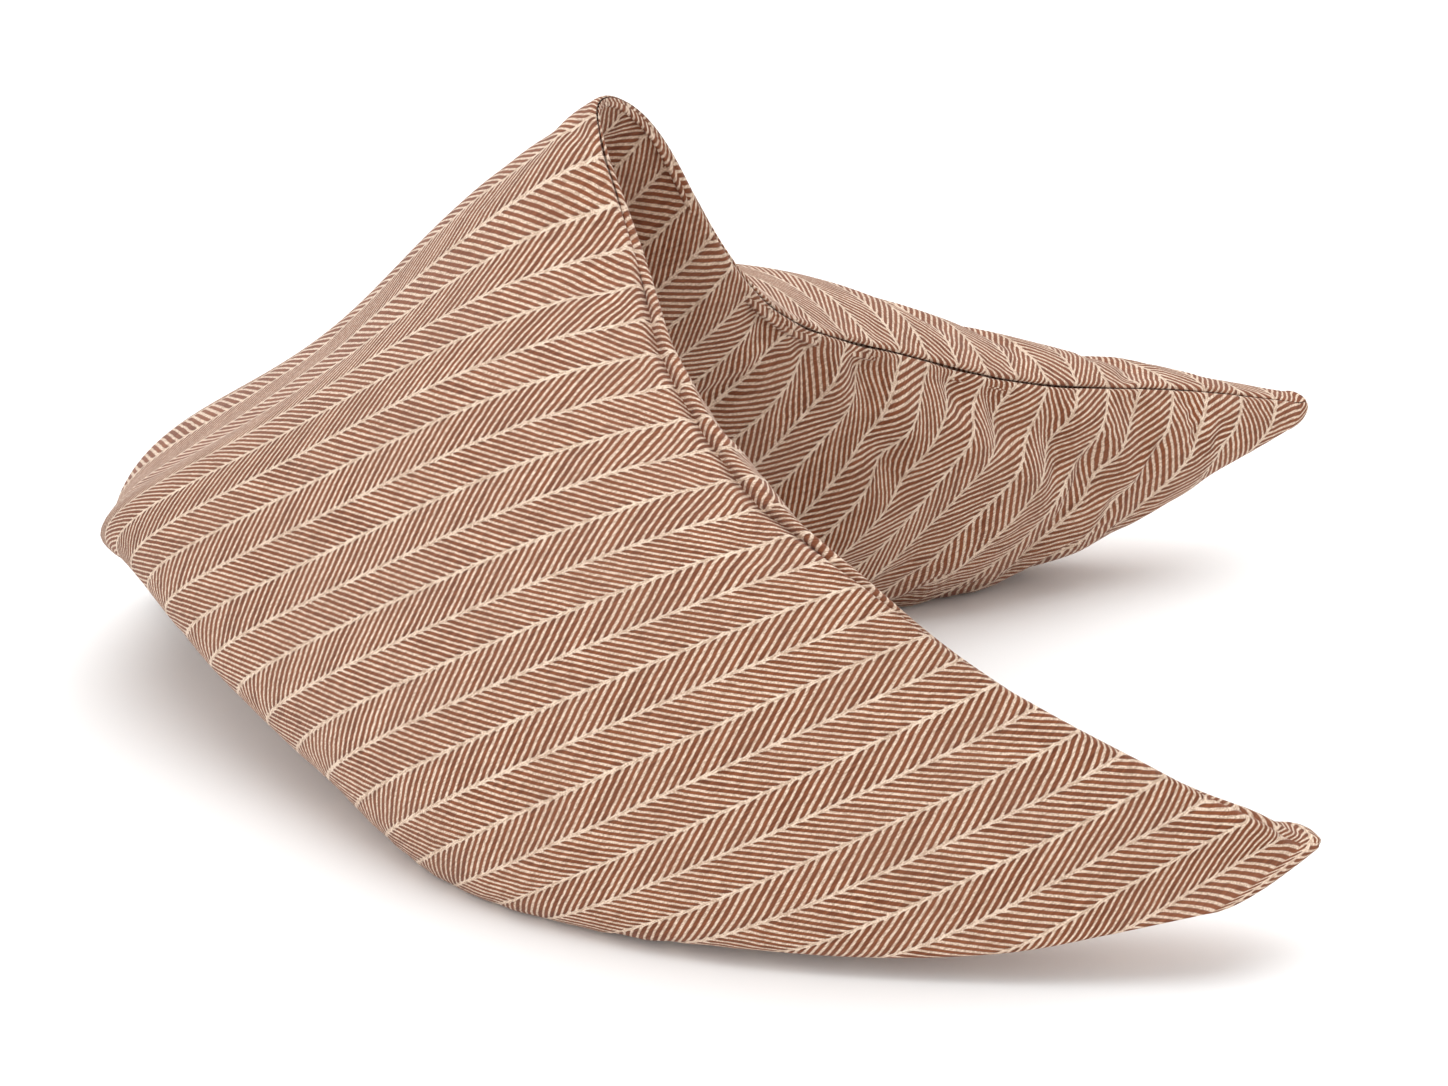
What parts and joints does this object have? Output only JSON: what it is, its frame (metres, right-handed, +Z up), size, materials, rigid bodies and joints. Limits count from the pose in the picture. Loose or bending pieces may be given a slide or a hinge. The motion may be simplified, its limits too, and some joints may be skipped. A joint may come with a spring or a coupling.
{
  "type": "crescent support pillow",
  "caption": "Filled crescent pillow folded in half about its middle, standing on its long convex edge like a low tent.",
  "frame": {"origin": "middle of the bounding box, on the floor it stands on", "axes": "+Z up, the opening of the fold and both tips face +X, the half nearer the viewer in the picture is on the -Y side"},
  "size_m": [0.5406, 0.5466, 0.2762],
  "materials": {
    "herringbone_cloth": "matte herringbone weave, terracotta brown on cream"
  },
  "bodies": {
    "root": {"crescent_pillow": "herringbone_cloth"}
  },
  "joints": []
}
